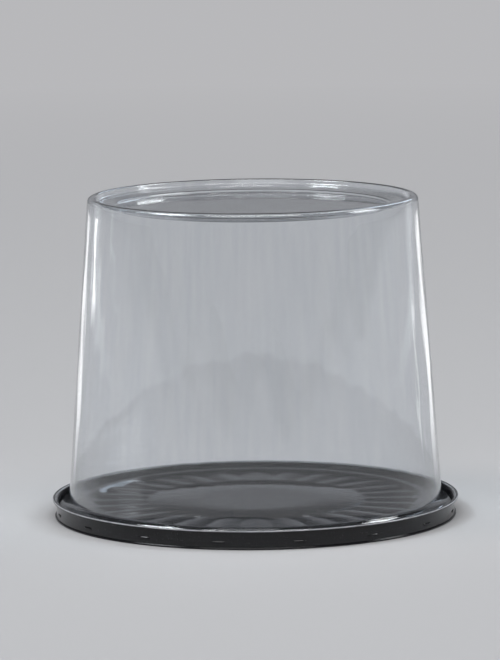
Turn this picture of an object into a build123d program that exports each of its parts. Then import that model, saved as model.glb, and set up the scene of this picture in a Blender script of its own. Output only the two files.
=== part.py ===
from build123d import *
import os
from math import cos, pi, radians, sin, tan

# Cake stand dome: a black moulded plastic tray with a clear lift-off dome.
#
# Units are millimetres. +Z is up, along the axis that both pieces are round about. The origin is on
# that axis, in the plane that the tray stands on. Radii are measured from the axis and levels from
# that plane. Widths run inwards from the lip, so each piece takes its place from its neighbour.

# ---- Tray: rim ----
lip_radius = 160.0              # outer edge of the lip, the widest point
tray_height = 15.0              # table to the top of the lip
lip_overhang = 3.0              # how far the lip stands out past the skirt
lip_edge_height = 1.6
skirt_thickness = 1.3
foot_bead_reach = 1.2           # how far the bead at the foot stands out past the skirt
foot_bead_height = 1.4
mouth_flare = 2.0               # how far the rim's inner wall leans out below the lip's top
lip_rounding = 0.55

# ---- Tray: floor ----
floor_thickness = 1.2
channel_depth = 5.0             # lip's top down to the channel that takes the dome's flange
channel_width = 15.1
ring_rise = 2.9                 # raised ring's top above the channel
ring_top_width = 6.0
ring_outer_slope = 48.0         # degrees from level
ring_inner_slope = 22.0
ring_toe = 1.0                  # how far the inner slope runs on below the flute valleys
floor_rounding = 1.3

# ---- Tray: flutes and seat ----
flute_count = 28
flute_crest_rise = 1.3          # flute crests above the channel
flute_depth_outer = 1.5         # crest to valley beside the ring
flute_depth_inner = 0.9         # crest to valley beside the seat
seat_radius = 85.0
seat_rise = 1.7                 # seat's top above the channel
seat_edge_drop = 1.9
seat_edge_run = 1.1

# ---- Dome ----
dome_height = 242.2             # underside of the flange to the crest
dome_sheet = 0.7
flange_clearance = 0.5          # flange's edge to the rim's inner wall
flange_width = 7.9              # wall's foot to the flange's edge
wall_draft = 4.23               # degrees that the wall leans in
foot_fillet = 6.0
shoulder_fillet = 3.9
crest_width = 5.8
crest_inner_fillet = 1.6
well_depth = 4.0                # crest down to the sloping band
well_lean = 1.2
band_width = 13.6
band_drop = 2.8
panel_step = 1.4                # band's foot down to the flat top panel
panel_step_run = 1.5
well_fillet = 2.0

# ---- Tray: radii and levels that follow ----
skirt_outer_radius = lip_radius - lip_overhang
rim_inner_radius = skirt_outer_radius - skirt_thickness
channel_level = tray_height - channel_depth
channel_inner_radius = rim_inner_radius - channel_width
ring_level = channel_level + ring_rise
ring_outer_radius = channel_inner_radius - ring_rise / tan(radians(ring_outer_slope))
ring_inner_radius = ring_outer_radius - ring_top_width
flute_crest_level = channel_level + flute_crest_rise
seat_level = channel_level + seat_rise

# ---- Dome: radii and levels that follow ----
flange_radius = rim_inner_radius - flange_clearance
dome_foot_radius = flange_radius - flange_width
flange_top_level = channel_level + dome_sheet
crest_level = channel_level + dome_height
shoulder_radius = dome_foot_radius - (crest_level - flange_top_level) * tan(radians(wall_draft))


def revolved(face):
    """The solid of revolution of a section drawn as (radius, level) in the XY plane."""
    return revolve(Plane.XZ * face, Axis.Z, 360)


def closed_section(corners):
    """A closed section with rounded corners, from (radius, level, rounding) corners."""
    points = [(radius, level) for radius, level, _ in corners]
    return make_face(FilletPolyline(*points, radius=[corner[2] for corner in corners], close=True))


def sheet_section(corners, thickness):
    """The section of a sheet whose upper side runs outwards through (radius, level, rounding) corners."""
    points = [(radius, level) for radius, level, _ in corners]
    roundings = [corner[2] for corner in corners[1:-1]]
    upper_side = FilletPolyline(*points, radius=roundings) if roundings else Polyline(*points)
    return make_face(offset(upper_side, amount=thickness, side=Side.RIGHT, closed=True))


def ring_slope_radius(level):
    """Where the raised ring's inner slope reaches a level."""
    return ring_inner_radius - (ring_level - level) / tan(radians(ring_inner_slope))


def tray_rim():
    """Skirt wall with its foot bead and the lip that overhangs it."""
    lip_underside = tray_height - lip_edge_height
    return revolved(closed_section([
        (rim_inner_radius, 0, 0),
        (skirt_outer_radius + foot_bead_reach, 0, 0),
        (skirt_outer_radius + foot_bead_reach, foot_bead_height, 0),
        (skirt_outer_radius, foot_bead_height, 0),
        (skirt_outer_radius, lip_underside, 0),
        (lip_radius, lip_underside, 0),
        (lip_radius, tray_height, lip_rounding),
        (rim_inner_radius + mouth_flare, tray_height, lip_rounding),
        (rim_inner_radius, lip_underside, 0),
    ]))


def ring_and_channel():
    """Floor sheet from the flutes over the raised ring to the channel and the rim."""
    toe_level = flute_crest_level - flute_depth_outer - ring_toe
    return revolved(sheet_section([
        (ring_slope_radius(toe_level), toe_level, 0),
        (ring_inner_radius, ring_level, floor_rounding),
        (ring_outer_radius, ring_level, floor_rounding),
        (channel_inner_radius, channel_level, 0),
        (rim_inner_radius + skirt_thickness / 2, channel_level, 0),
    ], floor_thickness))


def seat():
    """Flat disc that carries the cake, with its edge turned down over the flutes' inner ends."""
    return revolved(sheet_section([
        (0, seat_level, 0),
        (seat_radius, seat_level, 0),
        (seat_radius + seat_edge_run, seat_level - seat_edge_drop, 0),
    ], floor_thickness))


def flute_section(distance, depth):
    """Arched section of one flute, square to X at a distance from the axis, down to the table."""
    half_width = distance * tan(pi / flute_count)
    valley_level = flute_crest_level - depth
    arch = ThreePointArc((-half_width, valley_level), (0, flute_crest_level), (half_width, valley_level))
    base = Polyline((half_width, valley_level), (half_width, 0), (-half_width, 0), (-half_width, valley_level))
    return Plane(origin=(distance, 0, 0), x_dir=(0, 1, 0), z_dir=(1, 0, 0)) * make_face(arch + base)


def flute():
    """One flute as a sheet of even thickness, between the seat and the ring."""
    inner_end = seat_radius * cos(pi / flute_count)
    outer_end = ring_inner_radius
    block = loft([flute_section(inner_end, flute_depth_inner), flute_section(outer_end, flute_depth_outer)],
                 ruled=True)
    return block - Pos(0, 0, -floor_thickness) * block


def beyond_ring_slope():
    """Everything outside the middle of the raised ring's inner slope, where the flutes end."""
    shift = floor_thickness / 2 / sin(radians(ring_inner_slope))
    reach = ring_outer_radius + ring_top_width
    return revolved(make_face(Polyline(
        (ring_slope_radius(0) + shift, 0),
        (reach, 0),
        (reach, tray_height),
        (ring_slope_radius(tray_height) + shift, tray_height),
        close=True,
    )))


def fluted_floor():
    """All the flutes, side by side in a circle, ended under the ring's inner slope."""
    turn = 360 / flute_count
    flutes = Part() + [Rot(0, 0, index * turn) * flute() for index in range(flute_count)]
    return flutes - beyond_ring_slope()


def base_tray():
    return fluted_floor() + [seat(), ring_and_channel(), tray_rim()]


def dome_cover():
    """One clear sheet: flange, conical wall, rounded crest and sunken top."""
    crest_inner_radius = shoulder_radius - crest_width
    band_level = crest_level - well_depth
    band_outer_radius = crest_inner_radius - well_lean
    band_inner_radius = band_outer_radius - band_width
    step_level = band_level - band_drop
    panel_level = step_level - panel_step
    return revolved(sheet_section([
        (0, panel_level, 0),
        (band_inner_radius - panel_step_run, panel_level, 0),
        (band_inner_radius, step_level, 0),
        (band_outer_radius, band_level, well_fillet),
        (crest_inner_radius, crest_level, crest_inner_fillet),
        (shoulder_radius, crest_level, shoulder_fillet),
        (dome_foot_radius, flange_top_level, foot_fillet),
        (flange_radius, flange_top_level, 0),
    ], dome_sheet))


def main():
    os.makedirs("parts", exist_ok=True)
    for name, piece in (("base_tray", base_tray()), ("dome_cover", dome_cover())):
        export_step(piece, f"parts/{name}.step")
        print(name, "solids", len(piece.solids()), "volume", round(piece.volume), "valid", piece.is_valid)


main()
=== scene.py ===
"""A black moulded plastic cake tray with a clear lift-off dome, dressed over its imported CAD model.

Lengths are metres, in the CAD model's frame: +Z up, the axis of both pieces at the origin. Radii are
measured from that axis and levels from the table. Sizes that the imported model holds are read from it.
"""
from math import atan2, cos, pi, radians, sin, tan

import bpy
import numpy as np
from mathutils import Matrix, Vector

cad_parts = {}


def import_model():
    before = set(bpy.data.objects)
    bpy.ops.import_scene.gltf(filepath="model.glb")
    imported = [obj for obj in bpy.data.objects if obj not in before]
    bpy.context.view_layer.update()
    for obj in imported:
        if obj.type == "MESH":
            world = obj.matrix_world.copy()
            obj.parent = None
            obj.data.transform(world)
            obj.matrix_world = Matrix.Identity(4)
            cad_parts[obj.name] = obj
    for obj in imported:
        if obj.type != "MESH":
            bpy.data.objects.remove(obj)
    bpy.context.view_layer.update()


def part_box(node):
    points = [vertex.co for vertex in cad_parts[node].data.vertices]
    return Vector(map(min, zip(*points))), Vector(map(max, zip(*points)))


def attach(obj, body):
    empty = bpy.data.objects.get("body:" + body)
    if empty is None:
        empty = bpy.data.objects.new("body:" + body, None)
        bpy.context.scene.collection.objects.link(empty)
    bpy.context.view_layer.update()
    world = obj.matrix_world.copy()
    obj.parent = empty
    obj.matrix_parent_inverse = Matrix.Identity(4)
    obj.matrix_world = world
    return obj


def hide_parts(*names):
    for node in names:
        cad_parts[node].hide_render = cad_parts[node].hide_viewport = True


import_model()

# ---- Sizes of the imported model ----
_, TRAY_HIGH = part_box("base_tray")
DOME_LOW, DOME_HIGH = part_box("dome_cover")
LIP_RADIUS = TRAY_HIGH[0]
LIP_LEVEL = TRAY_HIGH[2]
FLANGE_RADIUS = DOME_HIGH[0]
FLANGE_LEVEL = DOME_LOW[2]              # underside of the flange, on the tray's channel
CREST_LEVEL = DOME_HIGH[2]

# ---- Tray: rim ----
LIP_OVERHANG = 0.0030
LIP_EDGE_HEIGHT = 0.0016
LIP_ROUNDING = 0.00070
SKIRT_THICKNESS = 0.0013
FOOT_BEAD_REACH = 0.0012
FOOT_BEAD_HEIGHT = 0.0014
MOUTH_FLARE = 0.0020
MOUTH_ROUNDING = 0.0008                 # where the flare leaves the rim's inner wall
EDGE_ROUNDING = 0.0002                  # under the lip's edge and at the foot
CORNER_ROUNDING = 0.0004                # round the foot bead, and where the skirt meets lip and floor

# ---- Tray: floor ----
FLOOR_THICKNESS = 0.0012
CHANNEL_WIDTH = 0.0151
CHANNEL_ROUNDING = 0.0009
RING_RISE = 0.0029
RING_TOP_WIDTH = 0.0060
RING_OUTER_SLOPE = radians(48)
RING_INNER_SLOPE = radians(22)
RING_ROUNDING = 0.0013
UNDERSIDE_ROUNDING = 0.0006
RING_PROFILE_START = 0.0025             # how far down the ring's inner slope its plain profile starts

# ---- Tray: flutes and seat ----
FLUTE_COUNT = 28
FLUTE_CREST_RISE = 0.0013
FLUTE_DEPTH_OUTER = 0.0015
FLUTE_DEPTH_INNER = 0.0009
SEAT_RADIUS = 0.0850
SEAT_RISE = 0.0017
SEAT_EDGE_DROP = 0.0019
SEAT_EDGE_RUN = 0.0011
SEAT_FLAT_END = 0.0004                  # how far inside the seat's edge its flat ends
FLOOR_BLEND = 0.0002                    # how softly the flutes run into the seat's edge and the ring

# ---- Tray: ribs on the rim's inner wall ----
RIB_COUNT = 360
RIB_HALF_WIDTH = 0.00050
RIB_PROUD = 0.00042
RIB_SUNK = 0.00030
RIB_ARC = 1.2                           # radians that a rib's round face turns to each side
RIB_ARC_POINTS = 5

# ---- Tray: small lugs on the skirt ----
LUG_COUNT = 16
LUG_TURN = radians(0.85)                # from where a gap between two lugs would face the camera
LUG_LEVEL = 0.0054
LUG_LENGTH = 0.0104
LUG_HEIGHT = 0.0022
LUG_PROUD = 0.0008
LUG_BLUNTNESS = 6                       # the higher it is, the fuller a lug stays towards its ends
LUG_ROWS = 12
LUG_SIDES = 10

# ---- Dome ----
DOME_SHEET = 0.0007
FLANGE_WIDTH = 0.0079
WALL_DRAFT = radians(4.23)
FOOT_FILLET = 0.0060
SHOULDER_FILLET = 0.0039
CREST_WIDTH = 0.0058
CREST_INNER_FILLET = 0.0016
WELL_DEPTH = 0.0040
WELL_LEAN = 0.0012
WELL_FILLET = 0.0020
BAND_WIDTH = 0.0136
BAND_DROP = 0.0028
PANEL_STEP = 0.0014
PANEL_STEP_RUN = 0.0015
PANEL_FILLET = 0.0015
PANEL_FIRST_RING = 0.0010               # radius of the first ring round the panel's middle

# ---- Dome: shallow upright waves left in its wall by the forming ----
WALL_WAVE = 0.00010                     # how far a wave with a share of 1 stands off a true cone
WALL_WAVE_FADE = 8                      # how quickly the waves grow from the wall's ends
WALL_WAVES = (                          # share, waves round the wall, phase at its foot, phase it gains
    (1.20, 5, 0.6, 3.1),
    (0.90, 17, 2.1, -9.5),
    (0.50, 41, 4.0, 19.0),
    (0.15, 83, 1.3, -6.0),
)

# ---- How finely the surfaces are divided ----
TRAY_SEGMENTS = FLUTE_COUNT * 24
DOME_SEGMENTS = 540
FLOOR_SEGMENTS = 96
ARC_STEPS = 7
TRAY_ARC_STEPS = 4
WALL_ROWS = 26
SHARP_ANGLE = radians(38)
SEAT_EDGE_RINGS = (0.0001, 0.0016, 0.00025)     # first and last past the seat's edge, and the step
FLUTE_RINGS = (0.0030, 0.0020, 0.0035)          # first past that edge, last before the slope's, step
RING_SLOPE_RINGS = (0.0008, 0.0030, 0.0006)     # first before the valleys end, last before the top

# ---- Radii and levels that follow ----
SKIRT_OUTER_RADIUS = LIP_RADIUS - LIP_OVERHANG
RIM_INNER_RADIUS = SKIRT_OUTER_RADIUS - SKIRT_THICKNESS
FOOT_RADIUS = SKIRT_OUTER_RADIUS + FOOT_BEAD_REACH
MOUTH_RADIUS = RIM_INNER_RADIUS + MOUTH_FLARE
LIP_UNDERSIDE = LIP_LEVEL - LIP_EDGE_HEIGHT
CHANNEL_LEVEL = FLANGE_LEVEL
CHANNEL_INNER_RADIUS = RIM_INNER_RADIUS - CHANNEL_WIDTH
RING_LEVEL = CHANNEL_LEVEL + RING_RISE
RING_OUTER_RADIUS = CHANNEL_INNER_RADIUS - RING_RISE / tan(RING_OUTER_SLOPE)
RING_INNER_RADIUS = RING_OUTER_RADIUS - RING_TOP_WIDTH
FLUTE_CREST_LEVEL = CHANNEL_LEVEL + FLUTE_CREST_RISE
SEAT_LEVEL = CHANNEL_LEVEL + SEAT_RISE
FLANGE_TOP_LEVEL = FLANGE_LEVEL + DOME_SHEET
FLANGE_EDGE_RADIUS = FLANGE_RADIUS - DOME_SHEET / 2
DOME_FOOT_RADIUS = FLANGE_RADIUS - FLANGE_WIDTH
SHOULDER_RADIUS = DOME_FOOT_RADIUS - (CREST_LEVEL - FLANGE_TOP_LEVEL) * tan(WALL_DRAFT)
RIB_ROWS = (                            # level, and the share of its full height that a rib has there
    (CHANNEL_LEVEL + 0.0001, 0.4),
    (CHANNEL_LEVEL + 0.0005, 1.0),
    (LIP_UNDERSIDE - 0.0003, 1.0),
    (LIP_UNDERSIDE + 0.0002, 0.2),
)

# ---- Black plastic ----
BLACK = (0.0045, 0.0045, 0.0055, 1)
DUST_COLOUR = (0.08, 0.08, 0.085, 1)
# Pale grey of the lip's line: a painted highlight, and rubbed plastic too.
SHEEN_AND_RUBBED_COLOUR = (0.44, 0.44, 0.46, 1)
SINK_DEPTH = 0.00004                    # moulding's slow waves
GRAIN_DEPTH = 0.0000005
OUTER_SHEEN_AND_WEAR_RADII = (LIP_RADIUS - 0.0009, LIP_RADIUS - 0.0003)           # the painted sheen and wear grow outwards here
INNER_SHEEN_AND_WEAR_RADII = (MOUTH_RADIUS + 0.0002, MOUTH_RADIUS + 0.0007)       # and fades outwards here
SHEEN_AND_WEAR_LEVELS = (LIP_LEVEL - 0.0010, LIP_LEVEL - 0.0004)                  # both grow upwards here
INNER_SHEEN_AND_WEAR_SHARE = 0.45

# ---- Clear plastic ----
CLEAR = (0.97, 0.98, 0.99, 1)
CLOUDED = (0.92, 0.94, 0.96, 1)
SHADOW_TINT = (0.90, 0.92, 0.93, 1)     # what the sheet lets through to what it shades
DRAW_LINE_DEPTH = 0.00003
RIPPLE_DEPTH = 0.00004

# ---- Floor and background ----
FLOOR_COLOUR = (0.41, 0.405, 0.41, 1)
FLOOR_RADIUS = 60.0
BACKGROUND_COLOUR = (0.97, 0.97, 1.0, 1)
BACKGROUND_LEVEL = 0.495
BACKGROUND_START = (0.8, 4.0)           # distances over which the floor runs out into the background
WORLD_COLOUR = (0.92, 0.94, 1.0, 1)
WORLD_LEVELS = (                        # elevation in degrees, and how bright the studio is there
    (-5, 0.24), (8, 0.24), (18, 0.03), (48, 0.05), (68, 0.40), (90, 0.50))

# ---- Camera ----
CAMERA_PLACE = (-0.00306, -3.5, 0.635)
CAMERA_PITCH = radians(-7.955)
CAMERA_ROLL = radians(-0.565)
CAMERA_LENS = 245.45                    # millimetres, with 36 mm along the photograph's longer side
CAMERA_REACH = 100

# ---- Lamps ----
MIDDLE = Vector((0, 0, CREST_LEVEL / 2))
LAMP_EDGE = 0.16                        # share of a lamp's width over which its edge fades
PALE_DAYLIGHT = (0.95, 0.98, 1.0)
COOL_DAYLIGHT = (0.93, 0.97, 1.0)
BLUE_DAYLIGHT = (0.75, 0.86, 1.0)
STRIP = (-90, 66, 9.0, (8.0, 2.2), 460)     # azimuth, elevation, distance, (width, height), watts
SOFTBOXES = (                           # name, azimuth, elevation, distance, size, radiance, colour
    ("right_window", 4, 35, 10.0, (4.4, 3.2), 8.5, PALE_DAYLIGHT),
    ("right_low_window", -4, 17.5, 10.0, (4.4, 2.0), 4.5, PALE_DAYLIGHT),
    ("left_window", 191, 51, 10.0, (4.2, 4.2), 13.5, COOL_DAYLIGHT),
    ("front_window", -97, 42, 10.0, (7.0, 4.2), 1.0, PALE_DAYLIGHT),
    ("back_window", 77, 25, 10.0, (1.8, 3.8), 2.1, BLUE_DAYLIGHT),
    ("back_right_wall", 40, 52, 12.0, (6.0, 4.4), 2.1, PALE_DAYLIGHT),
)
FLOOR_GLOWS = (                         # name, its point, azimuth, reach, half angle, radiance
    ("right_edge_glow", (0.139, -0.030), 64, (0.08, 3.4), 8.0, 1.1),
    ("left_edge_glow", (-0.139, -0.030), 115, (0.08, 3.4), 7.0, 1.0),
    ("right_streak", (0.128, -0.056), 40, (0.20, 3.2), 1.0, 0.9),
    ("left_streak", (-0.128, -0.052), 134, (1.8, 4.8), 3.0, 2.5),
)
GLOW_LEVEL = 0.002                      # how far a floor glow lies above the floor
GLOW_CORE = 0.4                         # share of its width within which it is at its brightest
GLOW_ENDS = 0.25                        # share of its length over which each end fades


# ---- Profiles ----
def rounded(corners, steps=ARC_STEPS):
    """Points along a line of (radius, level, rounding) corners, with an arc at each rounded corner."""
    points = []
    last = len(corners) - 1
    for index, (radius, level, rounding) in enumerate(corners):
        corner = np.array((radius, level))
        if not rounding or index in (0, last):
            points.append(corner)
            continue
        to_previous = np.array(corners[index - 1][:2]) - corner
        to_next = np.array(corners[index + 1][:2]) - corner
        to_previous = to_previous / np.linalg.norm(to_previous)
        to_next = to_next / np.linalg.norm(to_next)
        half_angle = np.arccos(np.clip(to_previous @ to_next, -1, 1)) / 2
        bisector = to_previous + to_next
        centre = corner + bisector / np.linalg.norm(bisector) * rounding / sin(half_angle)
        reach = rounding / tan(half_angle)
        first = corner + to_previous * reach - centre
        final = corner + to_next * reach - centre
        start = atan2(first[1], first[0])
        turn = (atan2(final[1], final[0]) - start + pi) % (2 * pi) - pi
        for step in range(steps + 1):
            angle = start + turn * step / steps
            points.append(centre + rounding * np.array((cos(angle), sin(angle))))
    return points


def divided(points, longest):
    """The same line with every run cut into pieces no longer than a length."""
    result = [points[0]]
    for previous, point in zip(points, points[1:]):
        pieces = max(1, int(np.ceil(np.linalg.norm(point - previous) / longest)))
        result += [previous + (point - previous) * piece / pieces for piece in range(1, pieces + 1)]
    return result


def shifted(points, distance):
    """The line moved to its right by a distance, mitred at its corners."""
    points = np.array(points)
    runs = np.diff(points, axis=0)
    rights = np.stack((runs[:, 1], -runs[:, 0]), axis=1) / np.linalg.norm(runs, axis=1)[:, None]
    before = np.vstack((rights[:1], rights))
    after = np.vstack((rights, rights[-1:]))
    mitre = before + after
    mitre /= np.sum(mitre * before, axis=1)[:, None]
    return list(points + distance * mitre)


def spaced(start, stop, step):
    """Even steps from a start to a stop, as near to a wanted step as they come out."""
    return list(np.linspace(start, stop, int(round((stop - start) / step)) + 1))


# ---- Meshes ----
def add_mesh(name, vertices, faces):
    """A smooth-shaded object, with its edges kept sharp where faces meet at more than SHARP_ANGLE."""
    mesh = bpy.data.meshes.new(name)
    mesh.from_pydata([tuple(vertex) for vertex in vertices], [], faces)
    mesh.validate()
    mesh.update()
    mesh.shade_smooth()
    mesh.set_sharp_from_angle(angle=SHARP_ANGLE)
    piece = bpy.data.objects.new(name, mesh)
    bpy.context.collection.objects.link(piece)
    return piece


def ring_mesh(name, rings, start_pole, end_pole):
    """A closed mesh over rings of points, each ring an (n, 3) array, with a pole at each end."""
    count = len(rings[0])
    vertices = np.vstack((*rings, [start_pole], [end_pole]))
    here = np.arange(count)
    following = (here + 1) % count
    faces = []
    for index in range(len(rings) - 1):
        low, high = index * count, (index + 1) * count
        faces += np.stack((low + here, high + here, high + following, low + following), axis=1).tolist()
    start, end = len(vertices) - 2, len(vertices) - 1
    last = (len(rings) - 1) * count
    faces += [(start, a, b) for a, b in zip(here.tolist(), following.tolist())]
    faces += [(end, last + b, last + a) for a, b in zip(here.tolist(), following.tolist())]
    return add_mesh(name, vertices, faces)


def bar_faces(first, rows, sides):
    """Faces of a closed bar whose points, from a first index, run round each of its rows in turn."""
    faces = []
    for row in range(rows - 1):
        for side in range(sides):
            a = first + row * sides + side
            b = first + row * sides + (side + 1) % sides
            faces.append((a, a + sides, b + sides, b))
    faces.append([first + side for side in range(sides)])
    faces.append([first + (rows - 1) * sides + side for side in reversed(range(sides))])
    return faces


def angles_round(count):
    """Evenly spaced angles round the axis."""
    return np.arange(count) * 2 * pi / count


def circle(radius, level, angles):
    """A ring of points. The radius and the level may each be one number or one per angle."""
    level = np.broadcast_to(level, angles.shape)
    return np.stack((radius * np.cos(angles), radius * np.sin(angles), level), axis=1)


# ---- Tray ----
def higher(a, b):
    """The higher of two levels, blended softly where they cross."""
    return (a + b + np.sqrt((a - b) ** 2 + FLOOR_BLEND ** 2)) / 2


def flute_level(radius, angles):
    """Level of the flutes' arched tops."""
    sector = 2 * pi / FLUTE_COUNT
    turned = (angles + sector / 2) % sector - sector / 2
    along = radius * np.cos(turned)
    across = radius * np.sin(turned)
    half_width = along * tan(sector / 2)
    inner_end = SEAT_RADIUS * cos(sector / 2)
    share = (along - inner_end) / (RING_INNER_RADIUS - inner_end)
    depth = FLUTE_DEPTH_INNER + (FLUTE_DEPTH_OUTER - FLUTE_DEPTH_INNER) * share
    arch_radius = (half_width ** 2 + depth ** 2) / (2 * depth)
    return FLUTE_CREST_LEVEL - arch_radius + np.sqrt(arch_radius ** 2 - across ** 2)


def floor_level(radius, angles):
    """Level of the floor's upper side between the seat's edge and the top of the ring's inner slope."""
    ring_slope = RING_LEVEL - (RING_INNER_RADIUS - radius) * tan(RING_INNER_SLOPE)
    seat_edge = SEAT_LEVEL - (radius - SEAT_RADIUS) * SEAT_EDGE_DROP / SEAT_EDGE_RUN
    return higher(higher(flute_level(radius, angles), ring_slope), seat_edge)


def fluted_radii():
    """Radii of the rings over the fluted floor, close together where the flutes meet other surfaces."""
    valley_fall = RING_RISE - FLUTE_CREST_RISE + FLUTE_DEPTH_OUTER
    valley_end = RING_INNER_RADIUS - valley_fall / tan(RING_INNER_SLOPE)
    edge_first, edge_last, edge_step = SEAT_EDGE_RINGS
    flute_first, flute_last, flute_step = FLUTE_RINGS
    slope_first, slope_last, slope_step = RING_SLOPE_RINGS
    slope_start = valley_end - slope_first
    return (spaced(SEAT_RADIUS + edge_first, SEAT_RADIUS + edge_last, edge_step)
            + spaced(SEAT_RADIUS + flute_first, slope_start - flute_last, flute_step)
            + spaced(slope_start, RING_INNER_RADIUS - slope_last, slope_step))


def tray_outside():
    """Profile from the ring's inner slope over the channel, lip and skirt, and back below the floor."""
    start_radius = RING_INNER_RADIUS - RING_PROFILE_START
    start_level = RING_LEVEL - RING_PROFILE_START * tan(RING_INNER_SLOPE)
    channel_underside = CHANNEL_LEVEL - FLOOR_THICKNESS
    ring_underside = RING_LEVEL - FLOOR_THICKNESS
    return rounded([
        (start_radius, start_level, 0),
        (RING_INNER_RADIUS, RING_LEVEL, RING_ROUNDING),
        (RING_OUTER_RADIUS, RING_LEVEL, RING_ROUNDING),
        (CHANNEL_INNER_RADIUS, CHANNEL_LEVEL, CHANNEL_ROUNDING),
        (RIM_INNER_RADIUS, CHANNEL_LEVEL, CHANNEL_ROUNDING / 3),
        (RIM_INNER_RADIUS, LIP_UNDERSIDE, MOUTH_ROUNDING),
        (MOUTH_RADIUS, LIP_LEVEL, LIP_ROUNDING),
        (LIP_RADIUS, LIP_LEVEL, LIP_ROUNDING),
        (LIP_RADIUS, LIP_UNDERSIDE, EDGE_ROUNDING),
        (SKIRT_OUTER_RADIUS, LIP_UNDERSIDE, CORNER_ROUNDING),
        (SKIRT_OUTER_RADIUS, FOOT_BEAD_HEIGHT, CORNER_ROUNDING),
        (FOOT_RADIUS, FOOT_BEAD_HEIGHT, CORNER_ROUNDING),
        (FOOT_RADIUS, 0, EDGE_ROUNDING),
        (RIM_INNER_RADIUS, 0, EDGE_ROUNDING),
        (RIM_INNER_RADIUS, channel_underside, CORNER_ROUNDING),
        (CHANNEL_INNER_RADIUS + FLOOR_THICKNESS / 2, channel_underside, UNDERSIDE_ROUNDING),
        (RING_OUTER_RADIUS - FLOOR_THICKNESS / 2, ring_underside, UNDERSIDE_ROUNDING),
        (RING_INNER_RADIUS, ring_underside, UNDERSIDE_ROUNDING),
        (start_radius, start_level - FLOOR_THICKNESS, 0),
    ], steps=TRAY_ARC_STEPS)


def tray():
    """The whole tray but for its ribs and lugs, as rings from the seat's middle out and back below."""
    angles = angles_round(TRAY_SEGMENTS)
    seat_radii = [SEAT_RADIUS / 2, SEAT_RADIUS - SEAT_FLAT_END]
    radii = fluted_radii()
    rings = [circle(radius, SEAT_LEVEL, angles) for radius in seat_radii]
    rings += [circle(radius, floor_level(radius, angles), angles) for radius in radii]
    rings += [circle(radius, level, angles) for radius, level in tray_outside()]
    rings += [circle(radius, floor_level(radius, angles) - FLOOR_THICKNESS, angles)
              for radius in reversed(radii[::2])]
    rings += [circle(radius, SEAT_LEVEL - FLOOR_THICKNESS, angles) for radius in reversed(seat_radii)]
    return ring_mesh("tray_shell", rings, (0, 0, SEAT_LEVEL), (0, 0, SEAT_LEVEL - FLOOR_THICKNESS))


def rim_ribs():
    """Fine upright grip ribs round the rim's inner wall, each a small closed half-round bar."""
    section = [(-RIB_HALF_WIDTH, -RIB_SUNK)]
    section += [(RIB_HALF_WIDTH * sin(turn), RIB_PROUD * cos(turn))
                for turn in np.linspace(-RIB_ARC, RIB_ARC, RIB_ARC_POINTS)]
    section += [(RIB_HALF_WIDTH, -RIB_SUNK)]
    vertices, faces = [], []
    for rib in range(RIB_COUNT):
        angle = 2 * pi * rib / RIB_COUNT
        outwards = np.array((cos(angle), sin(angle), 0))
        sideways = np.array((-sin(angle), cos(angle), 0))
        faces += bar_faces(len(vertices), len(RIB_ROWS), len(section))
        for level, share in RIB_ROWS:
            for across, proud in section:
                inwards = proud * share if proud > 0 else proud
                place = outwards * (RIM_INNER_RADIUS - inwards) + sideways * across
                vertices.append(place + (0, 0, level))
    return add_mesh("rim_ribs", vertices, faces)


def skirt_lugs():
    """Small rounded bars standing out from the skirt, half sunk in it."""
    vertices, faces = [], []
    for lug in range(LUG_COUNT):
        middle = 2 * pi * (lug + 0.5) / LUG_COUNT + LUG_TURN
        faces += bar_faces(len(vertices), LUG_ROWS, LUG_SIDES)
        for row in range(LUG_ROWS):
            lean = pi * (row + 0.5) / LUG_ROWS - pi / 2
            angle = middle + LUG_LENGTH / 2 / SKIRT_OUTER_RADIUS * sin(lean)
            swell = 1 - sin(lean) ** LUG_BLUNTNESS
            proud = LUG_PROUD * swell
            half_height = LUG_HEIGHT / 2 * swell ** 0.5
            for side in range(LUG_SIDES):
                turn = 2 * pi * side / LUG_SIDES
                radius = SKIRT_OUTER_RADIUS + proud * cos(turn)
                level = LUG_LEVEL + half_height * sin(turn)
                vertices.append((radius * cos(angle), radius * sin(angle), level))
    return add_mesh("skirt_lugs", vertices, faces)


# ---- Dome ----
def dome_profile():
    """Upper side of the sheet, from the panel's middle to the flange's edge."""
    crest_inner_radius = SHOULDER_RADIUS - CREST_WIDTH
    band_level = CREST_LEVEL - WELL_DEPTH
    band_outer_radius = crest_inner_radius - WELL_LEAN
    band_inner_radius = band_outer_radius - BAND_WIDTH
    step_level = band_level - BAND_DROP
    panel_level = step_level - PANEL_STEP
    return divided(rounded([
        (PANEL_FIRST_RING, panel_level, 0),
        (band_inner_radius - PANEL_STEP_RUN, panel_level, PANEL_FILLET),
        (band_inner_radius, step_level, PANEL_FILLET),
        (band_outer_radius, band_level, WELL_FILLET),
        (crest_inner_radius, CREST_LEVEL, CREST_INNER_FILLET),
        (SHOULDER_RADIUS, CREST_LEVEL, SHOULDER_FILLET),
        (DOME_FOOT_RADIUS, FLANGE_TOP_LEVEL, FOOT_FILLET),
        (FLANGE_EDGE_RADIUS, FLANGE_TOP_LEVEL, 0),
    ]), (CREST_LEVEL - FLANGE_LEVEL) / WALL_ROWS)


def wall_wander(level, angles):
    """How far the wall stands off a true cone at a level."""
    height = (level - FLANGE_TOP_LEVEL) / (CREST_LEVEL - FLANGE_TOP_LEVEL)
    fade = np.clip(height * (1 - height) * WALL_WAVE_FADE, 0, 1)
    waves = sum(share * np.sin(count * angles + start + climb * height)
                for share, count, start, climb in WALL_WAVES)
    return WALL_WAVE * fade * waves


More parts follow.
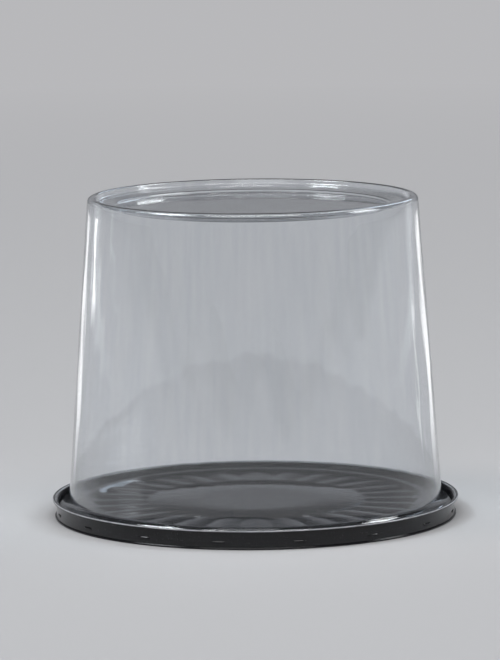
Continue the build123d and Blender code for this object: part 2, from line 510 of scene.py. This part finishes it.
def dome():
    """The whole dome, as rings from the panel's middle out to the flange's edge and back inside."""
    angles = angles_round(DOME_SEGMENTS)
    upper = dome_profile()
    lower = shifted(upper, DOME_SHEET)
    edge_level = (FLANGE_TOP_LEVEL + FLANGE_LEVEL) / 2
    edge = [(FLANGE_EDGE_RADIUS + DOME_SHEET / 2 * sin(turn), edge_level + DOME_SHEET / 2 * cos(turn))
            for turn in (pi / 4, pi / 2, 3 * pi / 4)]
    rings = [circle(radius + wall_wander(level, angles), level, angles)
             for radius, level in (*upper, *edge, *reversed(lower))]
    return ring_mesh("dome_shell", rings, (0, 0, upper[0][1]), (0, 0, lower[0][1]))


# ---- Nodes ----
def new_material(name):
    """A material with no nodes yet, and its node tree."""
    material = bpy.data.materials.new(name)
    material.use_nodes = True
    material.node_tree.nodes.clear()
    return material, material.node_tree


def node(tree, kind, inputs=None, **settings):
    """A node whose inputs, by name or number, are each a value or another node's output."""
    made = tree.nodes.new(kind)
    for name, value in settings.items():
        setattr(made, name, value)
    for name, value in (inputs or {}).items():
        if isinstance(value, bpy.types.NodeSocket):
            tree.links.new(value, made.inputs[name])
        else:
            made.inputs[name].default_value = value
    return made


def place_on_object(tree):
    return node(tree, "ShaderNodeTexCoord").outputs["Object"]


def split_place(tree):
    """The outputs X, Y and Z of the place on the object."""
    return node(tree, "ShaderNodeSeparateXYZ", {"Vector": place_on_object(tree)}).outputs


def distance_from_axis(tree):
    flat_place = node(tree, "ShaderNodeVectorMath", {0: place_on_object(tree), 1: (1, 1, 0)},
                      operation="MULTIPLY").outputs["Vector"]
    return node(tree, "ShaderNodeVectorMath", {0: flat_place}, operation="LENGTH").outputs["Value"]


def noise(tree, scale, stretch=(1, 1, 1), detail=3.0, roughness=0.55):
    """Noise over the object, finer along an axis the more that axis is stretched."""
    mapping = node(tree, "ShaderNodeMapping", {"Vector": place_on_object(tree), "Scale": stretch})
    return node(tree, "ShaderNodeTexNoise", {
        "Vector": mapping.outputs["Vector"], "Scale": scale, "Detail": detail, "Roughness": roughness,
    }).outputs["Fac"]


def between(tree, value, low, high, from_low=0.3, from_high=0.7):
    """A value's range carried onto another range. Noise keeps mostly to the range of 0.3 to 0.7."""
    return node(tree, "ShaderNodeMapRange", {
        "Value": value, "From Min": from_low, "From Max": from_high, "To Min": low, "To Max": high,
    }).outputs["Result"]


def smooth(tree, value, dark, bright):
    """0 at one value and 1 at another, eased at both."""
    return node(tree, "ShaderNodeMapRange", {
        "Value": value, "From Min": dark, "From Max": bright,
    }, interpolation_type="SMOOTHSTEP").outputs["Result"]


def combined(tree, operation, first, second):
    return node(tree, "ShaderNodeMath", {0: first, 1: second}, operation=operation).outputs["Value"]


def absolute(tree, value):
    return node(tree, "ShaderNodeMath", {0: value}, operation="ABSOLUTE").outputs["Value"]


def mixed_colour(tree, factor, first, second):
    """A mix of two colours. Its sockets go by number, because its other kinds use the same names."""
    return node(tree, "ShaderNodeMix", {0: factor, 6: first, 7: second}, data_type="RGBA").outputs[2]


def mixed_shader(tree, factor, first, second):
    return node(tree, "ShaderNodeMixShader", {0: factor, 1: first, 2: second}).outputs["Shader"]


def bump(tree, height, distance, normal=None):
    """A normal from a height, laid over another normal where one is given."""
    inputs = {"Height": height, "Distance": distance, "Strength": 1.0}
    if normal is not None:
        inputs["Normal"] = normal
    return node(tree, "ShaderNodeBump", inputs).outputs["Normal"]


def seen_directly(tree):
    """1 where the camera sees straight to a surface or through clear plastic, and 0 in reflections."""
    rays = node(tree, "ShaderNodeLightPath").outputs
    unmirrored = combined(tree, "LESS_THAN", rays["Glossy Depth"], 0.5)
    through = combined(tree, "MULTIPLY", rays["Is Transmission Ray"], unmirrored)
    return combined(tree, "MAXIMUM", rays["Is Camera Ray"], through)


# ---- Materials ----
def lip_sheen_and_wear(tree):
    """How strongly the lip's pale line is painted, as a painted highlight and as rubbed plastic both:
    along the lip's outer edge, and less along its inner edge.
    """
    radius = distance_from_axis(tree)
    outer = between(tree, radius, 0, 1, *OUTER_SHEEN_AND_WEAR_RADII)
    inner = between(tree, radius, INNER_SHEEN_AND_WEAR_SHARE, 0, *INNER_SHEEN_AND_WEAR_RADII)
    upper = between(tree, split_place(tree)["Z"], 0, 1, *SHEEN_AND_WEAR_LEVELS)
    patchy = between(tree, noise(tree, scale=130), 0.55, 1.0)
    edges = combined(tree, "MAXIMUM", outer, inner)
    return combined(tree, "MULTIPLY", combined(tree, "MULTIPLY", edges, upper), patchy)


def black_plastic():
    """Gloss black moulded plastic: slight sink waves, fine wear that dulls the gloss, a little dust,
    and a pale line painted on the lip's edges as a painted highlight and rubbed plastic.
    """
    material, tree = new_material("gloss_black_plastic")
    wear = between(tree, noise(tree, scale=55, detail=6, roughness=0.7), 0.025, 0.07)
    sink = bump(tree, noise(tree, scale=28, detail=1), SINK_DEPTH)
    grain = bump(tree, noise(tree, scale=900, detail=2), GRAIN_DEPTH, normal=sink)
    dust = between(tree, noise(tree, scale=1400, detail=1), 0, 1, from_low=0.70, from_high=0.78)
    dusty = mixed_colour(tree, dust, BLACK, DUST_COLOUR)
    # The lip's pale line is a painted highlight, and stands for rubbed plastic too.
    colour = mixed_colour(tree, lip_sheen_and_wear(tree), dusty, SHEEN_AND_RUBBED_COLOUR)
    shader = node(tree, "ShaderNodeBsdfPrincipled", {
        "Base Color": colour, "Roughness": wear, "Normal": grain, "IOR": 1.50,
        "Specular IOR Level": 0.42})
    node(tree, "ShaderNodeOutputMaterial", {"Surface": shader.outputs["BSDF"]})
    return material


def clear_plastic():
    """Clear thermoformed sheet: upright draw lines, a faint patchy haze, and a light shadow."""
    material, tree = new_material("clear_sheet_plastic")
    patches = noise(tree, scale=30, stretch=(1, 1, 0.25), detail=5, roughness=0.65)
    haze = between(tree, patches, 0.0, 0.045, from_low=0.35, from_high=0.75)
    streaks = noise(tree, scale=190, stretch=(1, 1, 0.02))
    draw_lines = bump(tree, streaks, DRAW_LINE_DEPTH)
    ripple = bump(tree, noise(tree, scale=45, stretch=(1, 1, 0.10), detail=2), RIPPLE_DEPTH,
                  normal=draw_lines)
    tint = mixed_colour(tree, between(tree, streaks, 0, 1), CLEAR, CLOUDED)
    sheet = node(tree, "ShaderNodeBsdfPrincipled", {
        "Base Color": tint, "Roughness": haze, "Normal": ripple, "IOR": 1.57,
        "Transmission Weight": 0.995})
    shade = node(tree, "ShaderNodeBsdfTransparent", {"Color": SHADOW_TINT})
    to_lamp = node(tree, "ShaderNodeLightPath").outputs["Is Shadow Ray"]
    surface = mixed_shader(tree, to_lamp, sheet.outputs["BSDF"], shade.outputs["BSDF"])
    node(tree, "ShaderNodeOutputMaterial", {"Surface": surface})
    return material


def floor_material():
    """A pale floor that keeps the object's shadow, and runs out into the plain background."""
    material, tree = new_material("pale_floor")
    shader = node(tree, "ShaderNodeBsdfPrincipled", {
        "Base Color": FLOOR_COLOUR, "Roughness": 0.9, "Specular IOR Level": 0.0})
    backdrop = node(tree, "ShaderNodeEmission", {
        "Color": BACKGROUND_COLOUR, "Strength": BACKGROUND_LEVEL})
    far = between(tree, distance_from_axis(tree), 0, 1, *BACKGROUND_START)
    fade = combined(tree, "MULTIPLY", far, seen_directly(tree))
    surface = mixed_shader(tree, fade, shader.outputs["BSDF"], backdrop.outputs["Emission"])
    node(tree, "ShaderNodeOutputMaterial", {"Surface": surface})
    return material


# ---- Lamps ----
def towards(azimuth, elevation, distance):
    """A place seen from the object's middle, with azimuth 0 along +X and 90 behind the object."""
    azimuth, elevation = radians(azimuth), radians(elevation)
    return tuple(MIDDLE + distance * Vector((
        cos(elevation) * cos(azimuth), cos(elevation) * sin(azimuth), sin(elevation))))


def face_object(lamp, place):
    """Puts a lamp in its place and turns it to the object's middle."""
    lamp.location = place
    lamp.rotation_euler = (MIDDLE - Vector(place)).to_track_quat("-Z", "Y").to_euler()


def glowing(panel, material, shine, radiance, colour):
    """Gives a panel its light, which only reflections and lit surfaces see."""
    tree = material.node_tree
    front = smooth(tree, node(tree, "ShaderNodeNewGeometry").outputs["Backfacing"], 1, 0)
    mirrored = smooth(tree, seen_directly(tree), 1, 0)
    shine = combined(tree, "MULTIPLY", shine, combined(tree, "MULTIPLY", front, mirrored))
    tint = node(tree, "ShaderNodeVectorMath", {0: colour, "Scale": shine}, operation="SCALE")
    light = node(tree, "ShaderNodeEmission", {"Color": tint.outputs["Vector"], "Strength": radiance})
    see_through = node(tree, "ShaderNodeBsdfTransparent")
    both = node(tree, "ShaderNodeAddShader", {
        0: light.outputs["Emission"], 1: see_through.outputs["BSDF"]})
    node(tree, "ShaderNodeOutputMaterial", {"Surface": both.outputs["Shader"]})
    panel.data.materials.append(material)
    material.cycles.emission_sampling = "FRONT"
    panel.visible_shadow = False


def softbox(name, place, size, radiance, colour):
    """A glowing panel with soft edges that faces the object."""
    width, height = size[0] / 2, size[1] / 2
    corners = [(-width, -height, 0), (-width, height, 0), (width, height, 0), (width, -height, 0)]
    panel = add_mesh(name, corners, [(0, 1, 2, 3)])
    face_object(panel, place)
    material, tree = new_material(name)
    split = split_place(tree)
    fades = [smooth(tree, absolute(tree, split[axis]), reach, reach * (1 - 2 * LAMP_EDGE))
             for axis, reach in (("X", width), ("Y", height))]
    glowing(panel, material, combined(tree, "MULTIPLY", *fades), radiance, colour)


def floor_glow(name, apex, azimuth, reach, half_angle, radiance):
    """A glowing wedge on the floor that spreads from the dome's side and draws an upright streak."""
    near, far = reach
    slope = tan(radians(half_angle))
    corners = [(-near * slope, near, 0), (near * slope, near, 0),
               (far * slope, far, 0), (-far * slope, far, 0)]
    panel = add_mesh(name, corners, [(0, 1, 2, 3)])
    panel.location = (*apex, GLOW_LEVEL)
    panel.rotation_euler.z = radians(azimuth) - pi / 2
    panel.visible_diffuse = False
    material, tree = new_material(name)
    split = split_place(tree)
    along = split["Y"]
    slant = combined(tree, "DIVIDE", absolute(tree, split["X"]), along)
    wedge = smooth(tree, slant, slope, slope * GLOW_CORE)
    starts = smooth(tree, along, near, near + GLOW_ENDS * (far - near))
    ends = smooth(tree, along, far, far - GLOW_ENDS * (far - near))
    shine = combined(tree, "MULTIPLY", wedge, combined(tree, "MULTIPLY", starts, ends))
    glowing(panel, material, shine, radiance, (1, 1, 1))


def ceiling_strip(name, place, size, power):
    """A soft lamp overhead that lights the scene and shows only in gloss."""
    data = bpy.data.lights.new(name, "AREA")
    data.shape = "RECTANGLE"
    data.size, data.size_y = size
    data.energy = power
    lamp = bpy.data.objects.new(name, data)
    face_object(lamp, place)
    lamp.visible_camera = False
    lamp.visible_transmission = False
    bpy.context.collection.objects.link(lamp)


def lights():
    azimuth, elevation, distance, size, power = STRIP
    ceiling_strip("front_strip", towards(azimuth, elevation, distance), size, power)
    for name, azimuth, elevation, distance, size, radiance, colour in SOFTBOXES:
        softbox(name, towards(azimuth, elevation, distance), size, radiance, colour)
    for glow in FLOOR_GLOWS:
        floor_glow(*glow)


# ---- Stage ----
def stage_floor():
    angles = angles_round(FLOOR_SEGMENTS)
    piece = add_mesh("floor", circle(FLOOR_RADIUS, 0, angles), [list(range(FLOOR_SEGMENTS))])
    piece.data.materials.append(floor_material())


def camera():
    data = bpy.data.cameras.new("camera")
    data.lens = CAMERA_LENS
    data.clip_end = CAMERA_REACH
    seen_from = bpy.data.objects.new("camera", data)
    turn = Matrix.Rotation(pi / 2 + CAMERA_PITCH, 4, "X") @ Matrix.Rotation(CAMERA_ROLL, 4, "Z")
    seen_from.matrix_world = Matrix.Translation(CAMERA_PLACE) @ turn
    bpy.context.collection.objects.link(seen_from)
    bpy.context.scene.camera = seen_from


def world():
    """A studio with a pale band at the horizon, dim above it and brighter overhead.

    The camera sees a plain background in its place.
    """
    made = bpy.data.worlds.new("studio")
    made.use_nodes = True
    tree = made.node_tree
    tree.nodes.clear()
    place = node(tree, "ShaderNodeTexCoord").outputs["Generated"]
    height = node(tree, "ShaderNodeSeparateXYZ", {"Vector": place}).outputs["Z"]
    ramp = node(tree, "ShaderNodeValToRGB", {"Fac": height})
    ramp.color_ramp.interpolation = "EASE"
    stops = ramp.color_ramp.elements
    while len(stops) < len(WORLD_LEVELS):
        stops.new(0.5)
    for stop, (elevation, level) in zip(stops, WORLD_LEVELS):
        stop.position = max(0, sin(radians(elevation)))
        stop.color = (level, level, level, 1)
    studio = node(tree, "ShaderNodeBackground", {
        "Color": WORLD_COLOUR, "Strength": ramp.outputs["Color"]})
    backdrop = node(tree, "ShaderNodeBackground", {
        "Color": BACKGROUND_COLOUR, "Strength": BACKGROUND_LEVEL})
    surface = mixed_shader(tree, seen_directly(tree), studio.outputs[0], backdrop.outputs[0])
    node(tree, "ShaderNodeOutputWorld", {"Surface": surface})
    bpy.context.scene.world = made


# ---- The object ----
tray_shell = tray()
tray_shell.data.materials.append(black_plastic())
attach(tray_shell, "tray")
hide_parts("base_tray")

ribs = rim_ribs()
ribs.data.materials.append(tray_shell.data.materials[0])
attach(ribs, "tray")

lugs = skirt_lugs()
lugs.data.materials.append(tray_shell.data.materials[0])
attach(lugs, "tray")

dome_shell = dome()
dome_shell.data.materials.append(clear_plastic())
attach(dome_shell, "dome")
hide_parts("dome_cover")

stage_floor()
camera()
lights()
world()
bpy.context.scene.view_settings.view_transform = "Standard"
